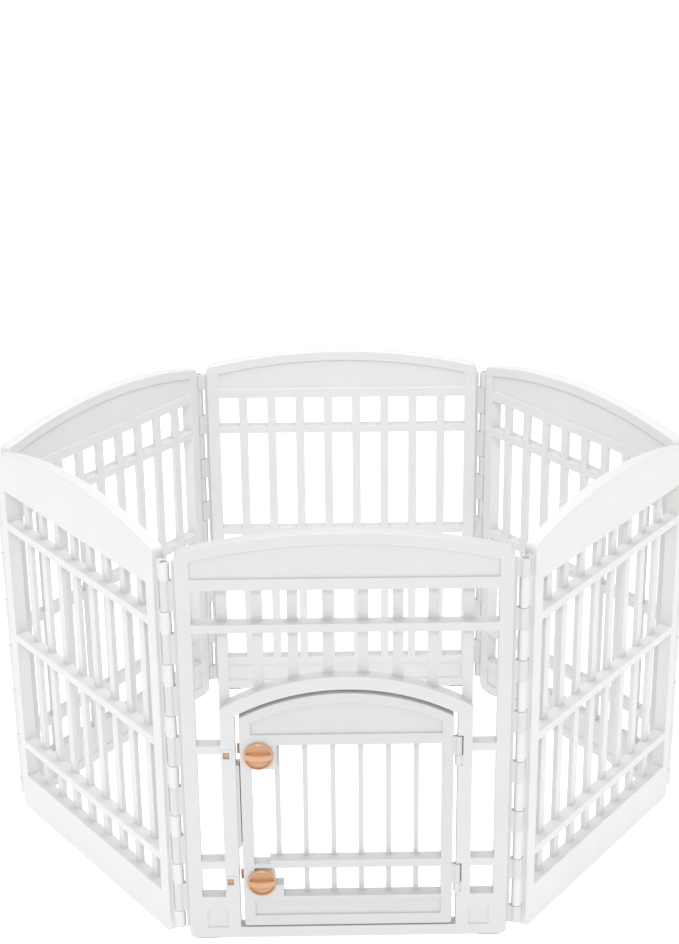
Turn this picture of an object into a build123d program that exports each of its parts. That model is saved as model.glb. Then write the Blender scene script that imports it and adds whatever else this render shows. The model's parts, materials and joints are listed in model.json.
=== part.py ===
from build123d import *
import math
import os

# Pet playpen: six moulded panels joined by hinge rods into a six-sided ring, with a small
# arched door in the front panel. Millimetres, +Z up. The front panel faces -Y, and the origin
# is on the floor under the middle of the whole pen's box.

# Ring
hinge_pitch = 660.0  # between the two hinge axes of one panel
corner_angle = 125.0  # inside angle at the front and rear corners; the side corners follow

# Panel
panel_height = 864.0  # floor to the top of the arch
panel_thickness = 27.5
edge_setback = 19.0  # hinge axis to the panel's edge
stile_width = 27.2
rail_height = 17.0
base_plate_top = 88.0
small_window_height = 69.0
crown_height = 112.0  # top of the small windows to the top of the arch
crown_rise = 38.0
panel_corner_radius = 14.0
panel_edge_radius = 3.0
window_columns = 9
bar_width = 19.8
bar_depth = 10.0  # bars lie flush with the inside face
recess_depth = 3.0
recess_border = 22.6
base_recess_border = 20.0

# Feet
foot_height = 3.0  # gap under the panel's lower edge
foot_length = 40.0
foot_width = 18.0
foot_inset = 35.0  # foot's middle to the panel's edge
foot_seat = 2.0  # how far a foot sits in its pocket
foot_clearance = 0.2

# Panel hinges
column_bottom = 26.0
column_drop = 58.0  # top of the arch to the top knuckle
outer_knuckles = 8
end_knuckle_height = 36.0
knuckle_height = 45.0
knuckle_gap = 0.5
outer_barrel_radius = 10.5
inner_barrel_radius = 9.3
arm_thickness = 12.0
flange_gap = 3.0  # thin flange on a panel's edge to the next panel's knuckles
rod_radius = 4.0
rod_clearance = 0.06
rod_head_radius = 6.5
rod_head_height = 2.5
rod_head_clearance = 0.3

# Doorway in the front panel
post_width = 27.7
sill_top = 27.0
arch_headroom = 91.5  # arch's outer edge to the rail above it
doorway_rise = 53.7
arch_band = 26.8
side_recess_size = 40.0
side_recess_bottom = 27.0
side_recess_inset = 28.4  # its middle to the edge of the window field
side_recess_depth = 2.0

# Door leaf
door_gap = 8.0
sill_gap = 3.0
door_stile_width = 21.6
door_corner_radius = 5.0
door_edge_radius = 2.0
door_base_top = 97.0
door_low_rail_bottom = 161.0
door_shoulder = 63.0  # top of the door's windows to the springing of its arch
door_bars = 6
door_bar_width = 10.0
door_crown_border = 20.4
door_crown_sill = 22.6  # recess above the door's top rail
door_base_recess = (54.0, 87.0)
rail_notch = (30.0, 8.0)  # length and depth of the step by the latch side
gusset_height = 51.0
lower_gusset_reach = 56.0
lower_gusset_drop = 8.0  # gusset's top below the knob's axis
lip_foot_rise = 28.0  # lip's foot above the door's low rail
lip_head_drop = 45.0  # lip's head below the top of the door's windows
lip_thickness = 3.5
lip_reach = 14.7
lip_root = 20.0
lip_clearance = 0.5
lip_edge_gap = 1.5  # lip's side to the door's edge
lip_setback = 4.0  # lip's face behind the front face

# Door hinges
upper_hinge_rise = 14.0  # hinge's top above the top of the door's windows
lower_hinge_rise = 3.0  # hinge's top above the lower edge of the door's low rail
door_hinge_height = 61.0
frame_knuckle_height = 20.5
door_barrel_radius = 7.0
door_axis_depth = 5.0  # behind the front face
door_axis_shift = 2.0  # beyond the side of the doorway
door_arm_thickness = 8.0
door_pin_radius = 2.5
door_pin_clearance = 0.06
door_pin_head = (4.0, 1.5)  # radius and height
notch_side_gap = 1.2
notch_clearance = 1.0

# Latches
upper_knob_drop = 21.0  # knob's axis below the top of the door's windows
lower_knob_drop = 30.0  # knob's axis below the lower edge of the door's low rail
knob_radius = 28.0
knob_height = 15.0  # at the crest of the domed grip bar
knob_rim_height = 5.5
knob_inset = 35.6  # knob's axis to the door's edge
knob_gap = 0.6
knob_floor = 3.0
knob_rim = 2.8
knob_grip_width = 11.0
knob_edge_radius = 1.2
spindle_radius = 8.0
spindle_clearance = 0.08
tenon_size = 9.0
tenon_clearance = 0.1
tenon_short = 0.2  # tenon's end below the lever's back
lever_height = 20.0
lever_thickness = 5.2
lever_gap = 0.6
lever_hub_radius = 12.0
lever_end_gap = 2.2  # lever's tip to the post
screw_radius = 2.0
screw_length = 12.0
screw_clearance = 0.05
screw_head = (5.5, 2.4)  # radius and height
screw_edge_radius = 1.2
screw_recess = (1.2, 6.4, 1.4)  # width, length and depth of the crossed slots
keeper_size = (12.0, 14.0)  # window in the post, width and height
keeper_inset = 10.5  # window's middle to the post's outer side
keeper_recess = 3.0
keeper_clearance = 0.1
keeper_boss = (21.0, 26.0, 1.0)

overcut = 1.0  # how far a cutting or joining shape runs past its face

# Derived places
half_pitch = hinge_pitch / 2
half_width = half_pitch - edge_setback
half_field = half_width - stile_width
front_face = -panel_thickness / 2
inside_face = panel_thickness / 2
crown_bottom = panel_height - crown_height
column_top = panel_height - column_drop
tall_window_height = (crown_bottom - base_plate_top - 2 * small_window_height - 3 * rail_height) / 2
window_width = (2 * half_field - (window_columns - 1) * bar_width) / window_columns
bar_pitch = window_width + bar_width
post_outer = half_field - window_width
half_doorway = post_outer - post_width
half_door = half_doorway - door_gap
door_bottom = sill_top + sill_gap
half_door_field = half_door - door_stile_width
upper_rail_bottom = crown_bottom - small_window_height - rail_height
doorway_top = upper_rail_bottom - arch_headroom - arch_band
doorway_spring = doorway_top - doorway_rise
door_window_top = doorway_spring - door_shoulder
door_low_rail_top = door_low_rail_bottom + rail_height
stop_lip = (door_low_rail_top + lip_foot_rise, door_window_top - lip_head_drop)
door_hinge_tops = (door_window_top + upper_hinge_rise, door_low_rail_bottom + lower_hinge_rise)
knob_heights = (door_window_top - upper_knob_drop, door_low_rail_bottom - lower_knob_drop)
door_axis_x = half_doorway + door_axis_shift
door_axis_y = front_face + door_axis_depth
knob_x = -half_door + knob_inset
keeper_x = -post_outer + keeper_inset
knob_front = -front_face + knob_gap + knob_height
side_angle = math.radians(180 - corner_angle)
half_depth = hinge_pitch * math.sin(side_angle)
half_span = half_pitch + hinge_pitch * math.cos(side_angle)
ring_shift = (knob_front - panel_thickness / 2) / 2


def slab(outline, y_low, y_high):
    # An outline drawn as (x, z), made solid between two depths.
    plane = Plane(origin=(0, y_high, 0), x_dir=(1, 0, 0), z_dir=(0, -1, 0))
    return extrude(plane * outline, amount=y_high - y_low)


def block(x_low, x_high, y_low, y_high, z_low, z_high):
    middle = ((x_low + x_high) / 2, (y_low + y_high) / 2, (z_low + z_high) / 2)
    return Pos(*middle) * Box(x_high - x_low, y_high - y_low, z_high - z_low)


def post(radius, x, y, z_low, z_high):
    return Pos(x, y, (z_low + z_high) / 2) * Cylinder(radius, z_high - z_low)


def rod_along_y(radius, x, z, y_low, y_high):
    turned = Pos(x, (y_low + y_high) / 2, z) * Rot(90, 0, 0)
    return turned * Cylinder(radius, y_high - y_low)


def arched(half, bottom, spring, top):
    # Straight sides and foot, with one round arc over the top.
    sides = Polyline((-half, spring), (-half, bottom), (half, bottom), (half, spring))
    return make_face(sides + ThreePointArc((half, spring), (0, top), (-half, spring)))


def arc_radius(half, rise):
    return (half * half + rise * rise) / (2 * rise)


def arc_drop(radius, half):
    # How far a round arch falls from its top at a distance from its middle.
    return radius - math.sqrt(radius * radius - half * half)


def inner_arch(half, bottom, top, radius):
    return arched(half, bottom, top - arc_drop(radius, half), top)


def soften(solid, y_faces, radius):
    # Round the edges that lie in the given faces.
    picked = []
    for edge in solid.edges():
        box = edge.bounding_box()
        for y_face in y_faces:
            if abs(box.min.Y - y_face) < 1e-4 and abs(box.max.Y - y_face) < 1e-4:
                picked.append(edge)
    return fillet(picked, radius)


def bar_centres():
    first = -half_field + window_width + bar_width / 2
    return [first + bar_pitch * i for i in range(window_columns - 1)]


def rail_levels():
    # Lower and upper edge of each of the window rows, from the base up.
    low = base_plate_top
    levels = []
    for height in (small_window_height, tall_window_height, tall_window_height, small_window_height):
        levels.append((low, low + height))
        low += height + rail_height
    return levels


def knuckle_spans():
    # Heights of the eight outer knuckles, from the lowest up.
    middle_count = outer_knuckles - 2
    free = column_top - column_bottom - 2 * end_knuckle_height - middle_count * knuckle_height
    space = free / (outer_knuckles - 1)
    spans = []
    low = column_bottom
    for i in range(outer_knuckles):
        height = end_knuckle_height if i in (0, outer_knuckles - 1) else knuckle_height
        spans.append((low, low + height))
        low += height + space
    return spans


def knuckle_row(spans, side, barrel_radius):
    # Knuckles on one edge of a panel; side is +1 or -1.
    row = []
    inner = side * (half_width - panel_edge_radius)
    outer = side * half_pitch
    for low, high in spans:
        row.append(post(barrel_radius, outer, 0, low, high))
        arm = (-arm_thickness / 2, arm_thickness / 2, low, high)
        row.append(block(min(inner, outer), max(inner, outer), *arm))
    return row


def edge_flanges():
    # Thin flanges that narrow the gap beside the next panel's knuckles.
    inner = half_width - panel_edge_radius
    outer = half_pitch - outer_barrel_radius - flange_gap
    right = block(inner, outer, -arm_thickness / 2, arm_thickness / 2, column_bottom, column_top)
    left = block(-outer, -inner, -arm_thickness / 2, arm_thickness / 2, column_bottom, column_top)
    return [right, left]


def panel_blank():
    spring = panel_height - crown_rise
    outline = arched(half_width, foot_height, spring, panel_height)
    outline = fillet(outline.vertices(), panel_corner_radius)
    return soften(slab(outline, front_face, inside_face), (front_face, inside_face), panel_edge_radius)


def crown_recess(y_low, y_high):
    radius = arc_radius(half_width, crown_rise) - recess_border
    outline = inner_arch(half_field, crown_bottom + recess_border, panel_height - recess_border, radius)
    return slab(outline, y_low, y_high)


def foot_pockets():
    pockets = []
    for side in (-1, 1):
        x = side * (half_width - foot_inset)
        reach_x = foot_length / 2 + foot_clearance
        reach_y = foot_width / 2 + foot_clearance
        pockets.append(block(x - reach_x, x + reach_x, -reach_y, reach_y, 0, foot_height + foot_seat))
    return pockets


def finish_panel(solid):
    # Edge flanges, knuckles, rod bores and foot pockets, which every panel has.
    spans = knuckle_spans()
    between = []
    for lower, upper in zip(spans, spans[1:]):
        between.append((lower[1] + knuckle_gap, upper[0] - knuckle_gap))
    solid += edge_flanges()
    solid += knuckle_row(spans, 1, outer_barrel_radius)
    solid += knuckle_row(between, -1, inner_barrel_radius)
    for side in (-1, 1):
        bore = post(rod_radius + rod_clearance, side * half_pitch, 0, 0, panel_height)
        solid -= bore
    seat = rod_head_height + rod_head_clearance
    head_radius = rod_head_radius + rod_head_clearance
    solid -= post(head_radius, half_pitch, 0, column_top - seat, panel_height)
    for pocket in foot_pockets():
        solid -= pocket
    return solid


def side_panel():
    solid = panel_blank()
    for low, high in rail_levels():
        solid -= block(-half_field, half_field, front_face - overcut, inside_face + overcut, low, high)
    bars = []
    for x in bar_centres():
        span = (base_plate_top - overcut, crown_bottom + overcut)
        depth = (inside_face - bar_depth, inside_face)
        bars.append(block(x - bar_width / 2, x + bar_width / 2, *depth, *span))
    solid += bars
    solid -= crown_recess(inside_face - recess_depth, inside_face + overcut)
    low = foot_height + foot_seat + base_recess_border
    high = base_plate_top - base_recess_border
    depth = (inside_face - recess_depth, inside_face + overcut)
    solid -= block(-half_field, half_field, *depth, low, high)
    return finish_panel(solid)


def frame_windows():
    # Openings of the front panel, apart from the doorway.
    depth = (front_face - overcut, inside_face + overcut)
    top_low, top_high = rail_levels()[-1]
    over_door = top_low - rail_height
    holes = [block(-half_field, half_field, *depth, top_low, top_high)]
    for side in (-1, 1):
        x_low, x_high = sorted((side * half_field, side * post_outer))
        holes.append(block(x_low, x_high, *depth, door_window_top, over_door))
        holes.append(block(x_low, x_high, *depth, door_low_rail_top, door_window_top - rail_height))
        holes.append(block(x_low, x_high, *depth, door_base_top, door_low_rail_bottom))
    middle = block(-post_outer, post_outer, *depth, doorway_spring - arch_band, over_door)
    radius = arc_radius(half_doorway, doorway_rise) + arch_band
    top = doorway_top + arch_band
    arch = slab(inner_arch(post_outer, 0, top, radius), *depth)
    holes.append(middle - arch)
    return holes


def frame_bars():
    top_low, top_high = rail_levels()[-1]
    bars = []
    radius = arc_radius(half_doorway, doorway_rise) + arch_band
    top = doorway_top + arch_band
    for x in bar_centres():
        low = top - arc_drop(radius, abs(x)) - arch_band / 2
        depth = (inside_face - bar_depth, inside_face)
        bars.append(block(x - bar_width / 2, x + bar_width / 2, *depth, low, top_high + overcut))
    return bars


def stop_strip():
    # Lip in and behind the gap on the latch side, for the door to close against.
    back = inside_face + lip_clearance + lip_thickness
    root = block(-half_doorway - lip_root, -half_doorway, inside_face, back, *stop_lip)
    lip = block(-half_doorway, -half_doorway + lip_reach, inside_face + lip_clearance, back, *stop_lip)
    edge = -half_door - lip_edge_gap
    web = block(-half_doorway - overcut, edge, front_face + lip_setback, back, *stop_lip)
    return [root, lip, web]


def hinge_notches():
    notches = []
    reach = door_axis_x + door_barrel_radius + notch_side_gap
    back = door_axis_y + door_barrel_radius + notch_clearance
    for top in door_hinge_tops:
        low = top - door_hinge_height - knuckle_gap
        high = top + door_pin_head[1] + knuckle_gap
        notches.append(block(half_doorway - overcut, reach, front_face - overcut, back, low, high))
    return notches


def hinge_leaf(z_low, z_high, x_root):
    # One knuckle of a door hinge with the arm that joins it to its part.
    half_arm = door_arm_thickness / 2
    x_low, x_high = sorted((door_axis_x, x_root))
    arm = block(x_low, x_high, door_axis_y - half_arm, door_axis_y + half_arm, z_low, z_high)
    return [post(door_barrel_radius, door_axis_x, door_axis_y, z_low, z_high), arm]


def pin_bores():
    radius = door_pin_radius + door_pin_clearance
    bores = []
    for top in door_hinge_tops:
        span = (top - door_hinge_height - overcut, top + overcut)
        bores.append(post(radius, door_axis_x, door_axis_y, *span))
    return bores


def around_keeper(z, width, height, y_low, y_high):
    x_span = (keeper_x - width / 2, keeper_x + width / 2)
    return block(*x_span, y_low, y_high, z - height / 2, z + height / 2)


def front_frame():
    solid = panel_blank()
    for hole in frame_windows():
        solid -= hole
    doorway = arched(half_doorway, sill_top, doorway_spring, doorway_top)
    solid += frame_bars()
    solid -= slab(doorway, front_face - overcut, inside_face + overcut)
    solid -= crown_recess(front_face - overcut, front_face + recess_depth)
    for side in (-1, 1):
        x = side * (half_field - side_recess_inset)
        reach = side_recess_size / 2
        tall = (side_recess_bottom, side_recess_bottom + side_recess_size)
        depth = (front_face - overcut, front_face + side_recess_depth)
        solid -= block(x - reach, x + reach, *depth, *tall)
    solid += stop_strip()
    for notch in hinge_notches():
        solid -= notch
    for top in door_hinge_tops:
        low = top - door_hinge_height
        root = door_axis_x + door_barrel_radius + notch_side_gap + overcut
        solid += hinge_leaf(low, low + frame_knuckle_height, root)
    for bore in pin_bores():
        solid -= bore
    for z in knob_heights:
        face = front_face - keeper_boss[2]
        solid += around_keeper(z, keeper_boss[0], keeper_boss[1], face, front_face + overcut)
        solid -= around_keeper(z, *keeper_size, face - overcut, inside_face + overcut)
    return finish_panel(solid)


def door_bar_centres():
    window = (2 * half_door_field - door_bars * door_bar_width) / (door_bars + 1)
    first = -half_door_field + window + door_bar_width / 2
    return [first + (window + door_bar_width) * i for i in range(door_bars)]


def door_blank():
    radius = arc_radius(half_doorway, doorway_rise) - door_gap
    top = doorway_top - door_gap
    outline = inner_arch(half_door, door_bottom, top, radius)
    outline = fillet(outline.vertices(), door_corner_radius)
    return soften(slab(outline, front_face, inside_face), (front_face, inside_face), door_edge_radius)


def door_gussets():
    # Plates that carry the two latch spindles.
    first_bar = door_bar_centres()[0]
    depth = (front_face, inside_face)
    upper = block(-half_door_field, first_bar, *depth, door_window_top - gusset_height, door_window_top)
    lower_x = -half_door_field + lower_gusset_reach
    lower_top = knob_heights[1] - lower_gusset_drop
    lower = block(-half_door_field, lower_x, *depth, door_base_top, lower_top)
    disc = rod_along_y(knob_radius - knob_rim / 2, knob_x, knob_heights[1], *depth)
    return [upper, lower, disc]


def door_leaf():
    solid = door_blank()
    depth = (front_face - overcut, inside_face + overcut)
    field = (-half_door_field, half_door_field)
    solid -= block(*field, *depth, door_low_rail_top, door_window_top)
    solid -= block(*field, *depth, door_base_top, door_low_rail_bottom)
    notch = (-half_door_field, -half_door_field + rail_notch[0])
    solid -= block(*notch, *depth, door_low_rail_top - rail_notch[1], door_low_rail_top)
    bars = []
    for i, x in enumerate(door_bar_centres()):
        low = door_low_rail_top - overcut if i == 0 else door_base_top - overcut
        span = (low, door_window_top + overcut)
        bar = (x - door_bar_width / 2, x + door_bar_width / 2, inside_face - bar_depth, inside_face)
        bars.append(block(*bar, *span))
    solid += bars
    solid += door_gussets()
    radius = arc_radius(half_doorway, doorway_rise) - door_gap - door_crown_border
    top = doorway_top - door_gap - door_crown_border
    crown = inner_arch(half_door_field, door_window_top + door_crown_sill, top, radius)
    solid -= slab(crown, front_face - overcut, front_face + recess_depth)
    solid -= block(*field, front_face - overcut, front_face + recess_depth, *door_base_recess)
    for hinge_top in door_hinge_tops:
        low = hinge_top - door_hinge_height + frame_knuckle_height + knuckle_gap
        solid += hinge_leaf(low, hinge_top, half_door - door_edge_radius - overcut)
    for bore in pin_bores():
        solid -= bore
    for z in knob_heights:
        solid -= rod_along_y(spindle_radius + spindle_clearance, knob_x, z, *depth)
    return solid


def knob(z):
    # Domed grip with a bar across it, and the spindle that passes through the door.
    back = front_face - knob_gap
    front = back - knob_height
    grip = rod_along_y(knob_radius, knob_x, z, front, back)
    dome_radius = arc_radius(knob_radius, knob_height - knob_rim_height)
    grip &= Pos(knob_x, front + dome_radius, z) * Sphere(dome_radius)
    grip = soften(grip, (back - knob_rim_height,), knob_edge_radius)
    hollow = rod_along_y(knob_radius - knob_rim, knob_x, z, front - overcut, back - knob_floor)
    half_grip = knob_grip_width / 2
    across = (knob_x - knob_radius, knob_x + knob_radius)
    bar = block(*across, front - overcut, back, z - half_grip, z + half_grip)
    grip -= hollow - bar
    shoulder = inside_face + lever_gap / 2
    grip += rod_along_y(spindle_radius, knob_x, z, back - overcut, shoulder)
    reach = inside_face + lever_gap + lever_thickness
    half_tenon = tenon_size / 2
    tenon = (shoulder - overcut, reach - tenon_short, z - half_tenon, z + half_tenon)
    grip += block(knob_x - half_tenon, knob_x + half_tenon, *tenon)
    tapped = screw_radius + screw_clearance
    grip -= rod_along_y(tapped, knob_x, z, reach - screw_length - screw_clearance, reach + overcut)
    return grip


def lever(z):
    y_low = inside_face + lever_gap
    y_high = y_low + lever_thickness
    tip = -half_doorway + lever_end_gap
    half = lever_height / 2
    outline = Pos(knob_x, z) * Circle(lever_hub_radius)
    outline += Pos((knob_x + tip) / 2, z) * Rectangle(knob_x - tip, 2 * half)
    hole = tenon_size + 2 * tenon_clearance
    outline -= Pos(knob_x, z) * Rectangle(hole, hole)
    return slab(outline, y_low, y_high)


def lever_screw(z):
    seat = inside_face + lever_gap + lever_thickness
    shank = rod_along_y(screw_radius, knob_x, z, seat - screw_length, seat)
    top = seat + screw_head[1]
    head = soften(rod_along_y(screw_head[0], knob_x, z, seat, top), (top,), screw_edge_radius)
    width, length, depth = screw_recess
    for reach_x, reach_z in ((length / 2, width / 2), (width / 2, length / 2)):
        slot = (knob_x - reach_x, knob_x + reach_x, top - depth, top + overcut)
        head -= block(*slot, z - reach_z, z + reach_z)
    return shank + head


def keeper(z):
    width = keeper_size[0] - 2 * keeper_clearance
    height = keeper_size[1] - 2 * keeper_clearance
    return around_keeper(z, width, height, front_face + keeper_recess, inside_face)


def feet():
    pads = []
    for side in (-1, 1):
        x = side * (half_width - foot_inset)
        pad = block(x - foot_length / 2, x + foot_length / 2, -foot_width / 2, foot_width / 2,
                    0, foot_height + foot_seat)
        pads.append(pad)
    return Compound(children=pads)


def hinge_rod():
    shank = post(rod_radius, half_pitch, 0, column_bottom, column_top - rod_head_height)
    head = post(rod_head_radius, half_pitch, 0, column_top - rod_head_height, column_top)
    return shank + head


def door_pin(top):
    shank = post(door_pin_radius, door_axis_x, door_axis_y, top - door_hinge_height, top)
    head = post(door_pin_head[0], door_axis_x, door_axis_y, top, top + door_pin_head[1])
    return shank + head


def places():
    # Where each panel stands: its middle and its turn about Z, in ring order.
    corners = {
        "front_left": (-half_pitch, -half_depth),
        "front_right": (half_pitch, -half_depth),
        "right": (half_span, 0),
        "rear_right": (half_pitch, half_depth),
        "rear_left": (-half_pitch, half_depth),
        "left": (-half_span, 0),
    }
    order = list(corners)
    names = ["front", "front_right", "rear_right", "back", "rear_left", "front_left"]
    found = {}
    for i, name in enumerate(names):
        start = corners[order[i]]
        end_name = order[(i + 1) % len(order)]
        end = corners[end_name]
        turn = math.degrees(math.atan2(end[1] - start[1], end[0] - start[0]))
        middle = ((start[0] + end[0]) / 2, (start[1] + end[1]) / 2 + ring_shift)
        found[name] = (Pos(middle[0], middle[1], 0) * Rot(0, 0, turn), end_name)
    return found


def save(name, solid):
    export_step(solid, os.path.join("parts", name + ".step"))


def main():
    os.makedirs("parts", exist_ok=True)
    spots = places()
    plain = side_panel()
    rod = hinge_rod()
    pads = feet()
    for name, (spot, rod_corner) in spots.items():
        if name == "front":
            save("front_frame", spot * front_frame())
        else:
            save("panel_" + name, spot * plain)
        save("feet_" + name, spot * pads)
        save("hinge_rod_" + rod_corner, spot * rod)
    front = spots["front"][0]
    save("door_leaf", front * door_leaf())
    for level, z, hinge_top in zip(("upper", "lower"), knob_heights, door_hinge_tops):
        save("latch_knob_" + level, front * knob(z))
        save("latch_lever_" + level, front * lever(z))
        save("lever_screw_" + level, front * lever_screw(z))
        save("keeper_" + level, front * keeper(z))
        save("door_pin_" + level, front * door_pin(hinge_top))


main()
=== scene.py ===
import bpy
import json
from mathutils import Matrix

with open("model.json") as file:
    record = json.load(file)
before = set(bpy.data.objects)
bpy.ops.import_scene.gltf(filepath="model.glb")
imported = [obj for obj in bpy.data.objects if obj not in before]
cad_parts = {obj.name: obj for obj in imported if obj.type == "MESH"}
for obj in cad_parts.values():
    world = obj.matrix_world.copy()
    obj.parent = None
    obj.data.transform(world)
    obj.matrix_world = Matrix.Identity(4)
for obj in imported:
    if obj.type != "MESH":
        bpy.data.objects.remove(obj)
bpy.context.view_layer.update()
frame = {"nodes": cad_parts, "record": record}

import json
import math

import bpy
from mathutils import Matrix, Vector

mm = 0.001
scene = bpy.context.scene
collection = scene.collection
nodes = frame["nodes"]
print("frame loaded:", len(nodes), "nodes")


# Camera, at standing height in front of the door

cameraSet = {
    "place": (-0.0086, -3.9603, 2.2885),  # metres
    "turn": -1.133,  # degrees about the vertical
    "tilt": -23.849,  # degrees, down
    "roll": -0.183,
    "lens": 78.22,  # mm, on a sensor of the width below
    "sensorWidth": 36,
    "shift": (-0.0400, 0.1099),
    "farthest": 60,
}


def makeCamera(s):
    data = bpy.data.cameras.new("camera")
    data.sensor_width = s["sensorWidth"]
    data.lens = s["lens"]
    data.clip_end = s["farthest"]
    data.shift_x, data.shift_y = s["shift"]
    camera = bpy.data.objects.new("camera", data)
    turn = Matrix.Rotation(math.radians(s["turn"]), 4, "Z")
    tilt = Matrix.Rotation(math.radians(90 + s["tilt"]), 4, "X")
    roll = Matrix.Rotation(math.radians(s["roll"]), 4, "Z")
    camera.matrix_world = Matrix.Translation(s["place"]) @ turn @ tilt @ roll
    collection.objects.link(camera)
    scene.camera = camera


makeCamera(cameraSet)
print("camera made")


# White paper floor, sky and studio lights

floorSet = {
    "size": 40.0,
    "colour": (0.93, 0.93, 0.93, 1),
    "roughness": 0.9,
    "specular": 0.1,
    "glow": 0.45,  # as on a light table, so that the paper stays free of shadows
}

skySet = {
    "colour": (1.0, 1.0, 1.0, 1),
    "strength": 0.74,
    "seenStrength": 1.05,  # where the camera looks straight at the sky
}

sunSet = {  # strength, spread in degrees, tilt towards the front in degrees
    "overheadLight": (1.0, 60, 0),
    "frontLight": (1.0, 16, 50),
}

lightSet = {  # place, size, watts, aim
    "leftLight": ((-6.5, -2.6, 3.2), 4.0, 15, (0, 0, 0.4)),
    "insideLight": ((0, 0.1, 1.8), 1.2, 5.5, (0, 0.1, 0)),
}


def makeFloor(s):
    mesh = bpy.data.meshes.new("floor")
    half = s["size"] / 2
    corners = [(-half, -half, 0), (half, -half, 0), (half, half, 0), (-half, half, 0)]
    mesh.from_pydata(corners, [], [(0, 1, 2, 3)])
    floor = bpy.data.objects.new("floor", mesh)
    collection.objects.link(floor)
    material = bpy.data.materials.new("floorPaper")
    material.use_nodes = True
    shader = material.node_tree.nodes["Principled BSDF"]
    shader.inputs["Base Color"].default_value = s["colour"]
    shader.inputs["Roughness"].default_value = s["roughness"]
    shader.inputs["Specular IOR Level"].default_value = s["specular"]
    shader.inputs["Emission Color"].default_value = s["colour"]
    shader.inputs["Emission Strength"].default_value = s["glow"]
    mesh.materials.append(material)


def makeSky(s):
    world = bpy.data.worlds.new("softSky")
    scene.world = world
    world.use_nodes = True
    tree = world.node_tree
    seen = tree.nodes.new("ShaderNodeLightPath").outputs["Is Camera Ray"]
    mix = tree.nodes.new("ShaderNodeMixShader")
    tree.links.new(seen, mix.inputs["Fac"])
    light = tree.nodes["Background"]
    backdrop = tree.nodes.new("ShaderNodeBackground")
    rows = ((light, s["strength"], mix.inputs[1]), (backdrop, s["seenStrength"], mix.inputs[2]))
    for node, strength, socket in rows:
        node.inputs["Color"].default_value = s["colour"]
        node.inputs["Strength"].default_value = strength
        tree.links.new(node.outputs["Background"], socket)
    tree.links.new(mix.outputs["Shader"], tree.nodes["World Output"].inputs["Surface"])


def makeSuns(s):
    for name, (strength, spreadAngle, tilt) in s.items():
        data = bpy.data.lights.new(name, "SUN")
        data.energy = strength
        data.angle = math.radians(spreadAngle)
        light = bpy.data.objects.new(name, data)
        light.rotation_euler = (math.radians(tilt), 0, 0)
        collection.objects.link(light)


def makeLights(s):
    for name, (place, size, watts, aim) in s.items():
        data = bpy.data.lights.new(name, "AREA")
        data.shape = "DISK"
        data.size = size
        data.energy = watts
        light = bpy.data.objects.new(name, data)
        light.location = place
        light.visible_camera = False
        direction = Vector(aim) - Vector(place)
        light.rotation_mode = "QUATERNION"
        light.rotation_quaternion = direction.to_track_quat("-Z", "Y")
        collection.objects.link(light)


makeFloor(floorSet)
makeSky(skySet)
makeSuns(sunSet)
makeLights(lightSet)
scene.view_settings.view_transform = "Standard"
print("stage and lights made")


# Shared effects, each a node group

def newGroup(name, inputs, outputs):
    group = bpy.data.node_groups.new(name, "ShaderNodeTree")
    for label, kind, value in inputs:
        socket = group.interface.new_socket(label, in_out="INPUT", socket_type=kind)
        socket.default_value = value
    for label, kind in outputs:
        group.interface.new_socket(label, in_out="OUTPUT", socket_type=kind)
    entry = group.nodes.new("NodeGroupInput")
    leave = group.nodes.new("NodeGroupOutput")
    return group, entry, leave


def link(tree, source, target):
    tree.links.new(source, target)


def addNode(tree, kind, **values):
    node = tree.nodes.new(kind)
    for key, value in values.items():
        setattr(node, key, value)
    return node


def noise(tree, coords, scale, detail, rough):
    node = addNode(tree, "ShaderNodeTexNoise")
    node.inputs["Scale"].default_value = scale
    node.inputs["Detail"].default_value = detail
    node.inputs["Roughness"].default_value = rough
    link(tree, coords, node.inputs["Vector"])
    return node.outputs["Fac"]


def stretch(tree, coords, scale):
    node = addNode(tree, "ShaderNodeMapping")
    node.inputs["Scale"].default_value = scale
    link(tree, coords, node.inputs["Vector"])
    return node.outputs["Vector"]


def spread(tree, value, low, high, toLow, toHigh):
    node = addNode(tree, "ShaderNodeMapRange")
    node.inputs["From Min"].default_value = low
    node.inputs["From Max"].default_value = high
    node.inputs["To Min"].default_value = toLow
    node.inputs["To Max"].default_value = toHigh
    link(tree, value, node.inputs["Value"])
    return node.outputs["Result"]


def arithmetic(tree, operation, first, second):
    node = addNode(tree, "ShaderNodeMath", operation=operation)
    for socket, value in zip(node.inputs, (first, second)):
        if isinstance(value, (int, float)):
            socket.default_value = value
        else:
            link(tree, value, socket)
    return node.outputs[0]


noiseSet = {  # scale, detail and roughness of each effect's noise
    "grain": (1100, 3, 0.6),
    "sink": (7, 2, 0.5),
    "cloud": (12, 5, 0.55),
    "flow": (1, 4, 0.6),
    "dust": (60, 6, 0.7),
    "rub": (1, 2, 0.5),
    "brush": (1, 3, 0.6),
    "plating": (90, 4, 0.6),
}

maskSet = {  # the stretch of a value that becomes a mask from 0 to 1
    "cloud": (0.3, 0.7),
    "flow": (0.35, 0.7),
    "facingUp": (0.6, 1.0),
    "dust": (0.4, 0.75),
    "rub": (0.66, 0.74),
    "plating": (0.35, 0.65),
    "polish": (0.3, 0.7),
}

rubSet = {
    "turns": ((0.2, 0.5, 0.4), (1.1, -0.3, 0.9)),  # radians, one set of rubs each
    "stretch": (420, 26, 420),
}


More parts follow.
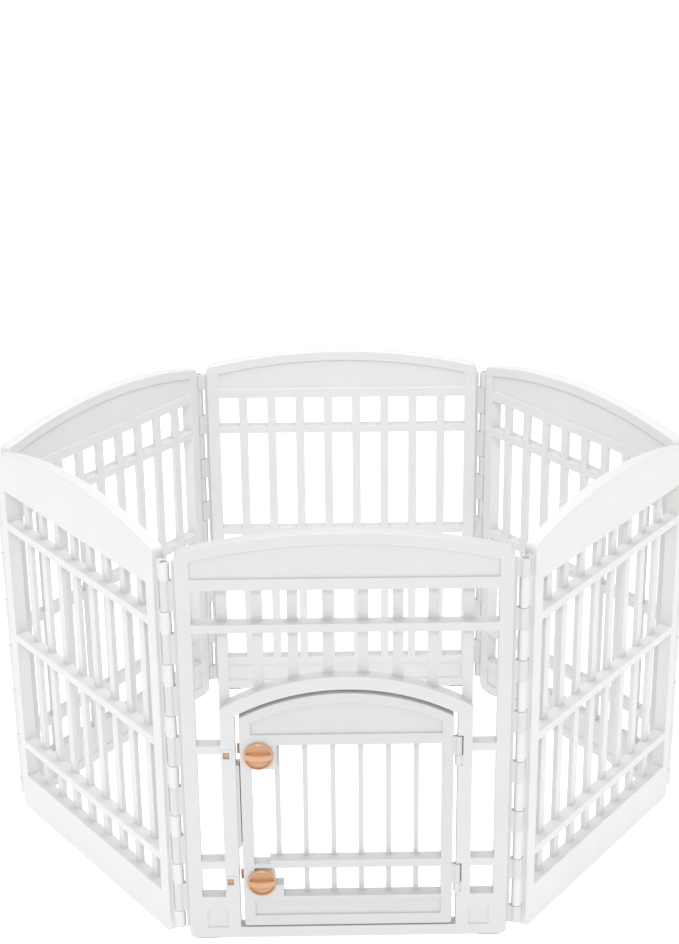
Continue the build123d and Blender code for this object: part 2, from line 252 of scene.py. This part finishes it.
def makeGrain():
    # Fine spark-eroded grain of a mould, with slow sink ripples over it
    group, entry, leave = newGroup(
        "mouldGrain",
        [("Vector", "NodeSocketVector", (0, 0, 0)), ("Ripple", "NodeSocketFloat", 0.3)],
        [("Height", "NodeSocketFloat"), ("Mask", "NodeSocketFloat")],
    )
    coords = entry.outputs["Vector"]
    fine = noise(group, coords, *noiseSet["grain"])
    slow = noise(group, coords, *noiseSet["sink"])
    ripple = arithmetic(group, "MULTIPLY", slow, entry.outputs["Ripple"])
    link(group, arithmetic(group, "ADD", fine, ripple), leave.inputs["Height"])
    cloud = noise(group, coords, *noiseSet["cloud"])
    link(group, spread(group, cloud, *maskSet["cloud"], 0, 1), leave.inputs["Mask"])
    return group


def makeFlow():
    # Faint lines where the plastic flowed into the mould, drawn out along the part
    group, entry, leave = newGroup(
        "flowLines",
        [("Vector", "NodeSocketVector", (0, 0, 0)), ("Along", "NodeSocketVector", (40, 40, 3))],
        [("Mask", "NodeSocketFloat")],
    )
    node = addNode(group, "ShaderNodeVectorMath", operation="MULTIPLY")
    link(group, entry.outputs["Vector"], node.inputs[0])
    link(group, entry.outputs["Along"], node.inputs[1])
    streak = noise(group, node.outputs["Vector"], *noiseSet["flow"])
    link(group, spread(group, streak, *maskSet["flow"], 0, 1), leave.inputs["Mask"])
    return group


def makeDust():
    # Dust that settles on what faces up, and dirt low down near the floor
    group, entry, leave = newGroup(
        "settledDust",
        [
            ("Vector", "NodeSocketVector", (0, 0, 0)),
            ("Amount", "NodeSocketFloat", 0.2),
            ("Low", "NodeSocketFloat", 0.2),
            ("Reach", "NodeSocketFloat", 0.05),
        ],
        [("Mask", "NodeSocketFloat")],
    )
    geometry = addNode(group, "ShaderNodeNewGeometry")
    facing = addNode(group, "ShaderNodeSeparateXYZ")
    link(group, geometry.outputs["Normal"], facing.inputs[0])
    up = spread(group, facing.outputs["Z"], *maskSet["facingUp"], 0, 1)
    speckle = noise(group, entry.outputs["Vector"], *noiseSet["dust"])
    patches = spread(group, speckle, *maskSet["dust"], 0, 1)
    settled = arithmetic(group, "MULTIPLY", up, entry.outputs["Amount"])
    place = addNode(group, "ShaderNodeSeparateXYZ")
    link(group, entry.outputs["Vector"], place.inputs[0])
    height = arithmetic(group, "DIVIDE", place.outputs["Z"], entry.outputs["Reach"])
    fade = spread(group, height, 0, 1, 1, 0)
    low = arithmetic(group, "MULTIPLY", fade, entry.outputs["Low"])
    both = arithmetic(group, "ADD", settled, low)
    link(group, arithmetic(group, "MULTIPLY", both, patches), leave.inputs["Mask"])
    return group


def makeRubs(s):
    # Thin short rubs in two directions, from handling
    group, entry, leave = newGroup(
        "handlingRubs",
        [("Vector", "NodeSocketVector", (0, 0, 0))],
        [("Mask", "NodeSocketFloat")],
    )
    masks = []
    for turn in s["turns"]:
        turned = addNode(group, "ShaderNodeVectorRotate", rotation_type="EULER_XYZ")
        turned.inputs["Rotation"].default_value = turn
        link(group, entry.outputs["Vector"], turned.inputs["Vector"])
        drawn = stretch(group, turned.outputs["Vector"], s["stretch"])
        streak = noise(group, drawn, *noiseSet["rub"])
        masks.append(spread(group, streak, *maskSet["rub"], 0, 1))
    link(group, arithmetic(group, "MAXIMUM", *masks), leave.inputs["Mask"])
    return group


grainGroup = makeGrain()
flowGroup = makeFlow()
dustGroup = makeDust()
rubGroup = makeRubs(rubSet)


def placeGroup(tree, group, coords, **values):
    node = addNode(tree, "ShaderNodeGroup", node_tree=group)
    link(tree, coords, node.inputs["Vector"])
    for key, value in values.items():
        node.inputs[key].default_value = value
    return node


def blendColours(tree, mask, first, second):
    node = addNode(tree, "ShaderNodeMix", data_type="RGBA")
    link(tree, mask, node.inputs["Factor"])
    for socket, value in ((node.inputs[6], first), (node.inputs[7], second)):
        if isinstance(value, tuple):
            socket.default_value = value
        else:
            link(tree, value, socket)
    return node.outputs[2]


def addBump(tree, shader, height, s):
    bump = addNode(tree, "ShaderNodeBump")
    bump.inputs["Strength"].default_value = s["bumpStrength"]
    bump.inputs["Distance"].default_value = s["bump"]
    link(tree, height, bump.inputs["Height"])
    link(tree, bump.outputs["Normal"], shader.inputs["Normal"])


def startMaterial(name):
    material = bpy.data.materials.new(name)
    material.use_nodes = True
    tree = material.node_tree
    coords = addNode(tree, "ShaderNodeTexCoord").outputs["Object"]
    return material, tree, tree.nodes["Principled BSDF"], coords


# Materials

# Frame white: a darker copy of the panels' white plastic. The lower tone is painted shade for
# dimmer light on the front faces; the panel, tan and door sets override it.
framePaintedShadeSet = {
    "tone": (0.56, 0.56, 0.564, 1),
    "shade": (0.548, 0.548, 0.552, 1),
    "flow": (0.535, 0.535, 0.535, 1),
    "flowAmount": 0.35,
    "dust": (0.62, 0.60, 0.56, 1),
    "dustAmount": 0.12,
    "lowDust": 0.30,
    "dustReach": 50 * mm,  # height above the floor that the low dirt reaches
    "roughness": (0.38, 0.47),
    "refraction": 1.49,
    "bump": 0.05 * mm,
    "bumpStrength": 0.6,
    "ripple": 0.5,
    "rub": 0.06,  # how much smoother a handling rub is
    "along": (36, 36, 3),
}
# Door white: a still darker copy of the same plastic. The lower tone is painted shade for
# dimmer light on the door's faces.
doorPaintedShadeSet = dict(
    framePaintedShadeSet,
    tone=(0.525, 0.525, 0.529, 1),
    shade=(0.513, 0.513, 0.517, 1),
    along=(3, 36, 36),
)
panelSet = dict(
    framePaintedShadeSet,
    tone=(0.632, 0.63, 0.624, 1),
    shade=(0.62, 0.617, 0.609, 1),
    flow=(0.608, 0.604, 0.596, 1),
)
tanSet = dict(
    framePaintedShadeSet,
    tone=(0.56, 0.31, 0.17, 1),
    shade=(0.50, 0.265, 0.14, 1),
    flow=(0.62, 0.365, 0.22, 1),
    dust=(0.62, 0.50, 0.40, 1),
    roughness=(0.27, 0.36),
    bump=0.03 * mm,
    dustAmount=0.05,
    lowDust=0.0,
    along=(14, 60, 60),
)
rubberSet = {
    "tone": (0.055, 0.053, 0.050, 1),
    "shade": (0.030, 0.030, 0.030, 1),
    "dust": (0.22, 0.20, 0.18, 1),
    "dustAmount": 0.3,
    "lowDust": 0.6,
    "dustReach": 6 * mm,
    "roughness": (0.72, 0.9),
    "bump": 0.25 * mm,
    "bumpStrength": 0.8,
    "ripple": 0.2,
}
steelSet = {
    "tone": (0.64, 0.64, 0.65, 1),
    "shade": (0.50, 0.50, 0.52, 1),
    "roughness": (0.22, 0.38),
    "brush": (900, 900, 14),
    "bump": 0.02 * mm,
    "bumpStrength": 0.5,
}
screwSet = dict(steelSet, brush=(160, 160, 160))


def placeDust(tree, coords, s):
    amounts = {"Amount": s["dustAmount"], "Low": s["lowDust"], "Reach": s["dustReach"]}
    return placeGroup(tree, dustGroup, coords, **amounts).outputs["Mask"]


def makePlastic(name, s):
    material, tree, shader, coords = startMaterial(name)
    grain = placeGroup(tree, grainGroup, coords, Ripple=s["ripple"])
    flow = placeGroup(tree, flowGroup, coords, Along=s["along"])
    dust = placeDust(tree, coords, s)
    rubs = placeGroup(tree, rubGroup, coords)
    body = blendColours(tree, grain.outputs["Mask"], s["tone"], s["shade"])
    faint = arithmetic(tree, "MULTIPLY", flow.outputs["Mask"], s["flowAmount"])
    drawn = blendColours(tree, faint, body, s["flow"])
    colour = blendColours(tree, dust, drawn, s["dust"])
    link(tree, colour, shader.inputs["Base Color"])
    rough = spread(tree, grain.outputs["Mask"], 0, 1, *s["roughness"])
    rubbed = arithmetic(tree, "MULTIPLY", rubs.outputs["Mask"], s["rub"])
    link(tree, arithmetic(tree, "SUBTRACT", rough, rubbed), shader.inputs["Roughness"])
    shader.inputs["IOR"].default_value = s["refraction"]
    addBump(tree, shader, grain.outputs["Height"], s)
    return material


def makeRubber(name, s):
    material, tree, shader, coords = startMaterial(name)
    grain = placeGroup(tree, grainGroup, coords, Ripple=s["ripple"])
    dust = placeDust(tree, coords, s)
    body = blendColours(tree, grain.outputs["Mask"], s["tone"], s["shade"])
    colour = blendColours(tree, dust, body, s["dust"])
    link(tree, colour, shader.inputs["Base Color"])
    rough = spread(tree, grain.outputs["Mask"], 0, 1, *s["roughness"])
    link(tree, rough, shader.inputs["Roughness"])
    addBump(tree, shader, grain.outputs["Height"], s)
    return material


def makeSteel(name, s):
    material, tree, shader, coords = startMaterial(name)
    brush = noise(tree, stretch(tree, coords, s["brush"]), *noiseSet["brush"])
    cloud = noise(tree, coords, *noiseSet["plating"])
    both = arithmetic(tree, "MULTIPLY", arithmetic(tree, "ADD", brush, cloud), 0.5)
    dull = spread(tree, both, *maskSet["plating"], 0, 1)
    link(tree, blendColours(tree, dull, s["tone"], s["shade"]), shader.inputs["Base Color"])
    rough = spread(tree, both, *maskSet["polish"], *s["roughness"])
    link(tree, rough, shader.inputs["Roughness"])
    shader.inputs["Metallic"].default_value = 1
    addBump(tree, shader, brush, s)
    return material


materials = {
    # the frame and door whites carry painted shade; the panels keep the lighter white
    "frame_plastic": makePlastic("frameWhitePaintedShade", framePaintedShadeSet),
    # the door's darker tone is painted shade
    "door_plastic": makePlastic("doorWhitePaintedShade", doorPaintedShadeSet),
    "panel_plastic": makePlastic("panelWarmWhite", panelSet),
    "tan_plastic": makePlastic("latchTan", tanSet),
    "rubber": makeRubber("footRubber", rubberSet),
    "rod_steel": makeSteel("platedRod", steelSet),
    "screw_steel": makeSteel("platedScrew", screwSet),
}
slotOf = {row["node"]: row["material_slot"] for row in frame["record"]["subparts"]}
print("materials made:", len(materials))


# Rounded edges on every piece

edgeSizes = {  # start of the piece's name: width of its rounded edges, and segments
    "panel": (1.1 * mm, 2),
    "front_frame": (1.1 * mm, 2),
    "door_leaf": (1.0 * mm, 2),
    "keeper": (0.8 * mm, 3),
    "latch_knob": (0.7 * mm, 3),
    "latch_lever": (1.0 * mm, 3),
    "feet": (1.2 * mm, 3),
    "hinge_rod": (0.8 * mm, 3),
    "door_pin": (0.5 * mm, 3),
    "lever_screw": (0.15 * mm, 2),
}

edgeSet = {
    "weldGap": 0.01 * mm,
    "flatAngle": 0.3,  # degrees between faces that count as one
    "sharpAngle": 40,  # degrees, beyond which an edge is rounded
}


def softenEdges(piece, width, segments, s):
    weld = piece.modifiers.new("weld", "WELD")
    weld.merge_threshold = s["weldGap"]
    flat = piece.modifiers.new("flatten", "DECIMATE")
    flat.decimate_type = "DISSOLVE"
    flat.angle_limit = math.radians(s["flatAngle"])
    bevel = piece.modifiers.new("softEdges", "BEVEL")
    bevel.width = width
    bevel.segments = segments
    bevel.limit_method = "ANGLE"
    bevel.angle_limit = math.radians(s["sharpAngle"])
    bevel.use_clamp_overlap = True
    smooth = piece.modifiers.new("faceNormals", "WEIGHTED_NORMAL")
    smooth.keep_sharp = True


for name, piece in nodes.items():
    piece.data.materials.clear()
    piece.data.materials.append(materials[slotOf[name]])
    for start, size in edgeSizes.items():
        if name.startswith(start):
            softenEdges(piece, *size, edgeSet)
print("pieces finished:", len(nodes))
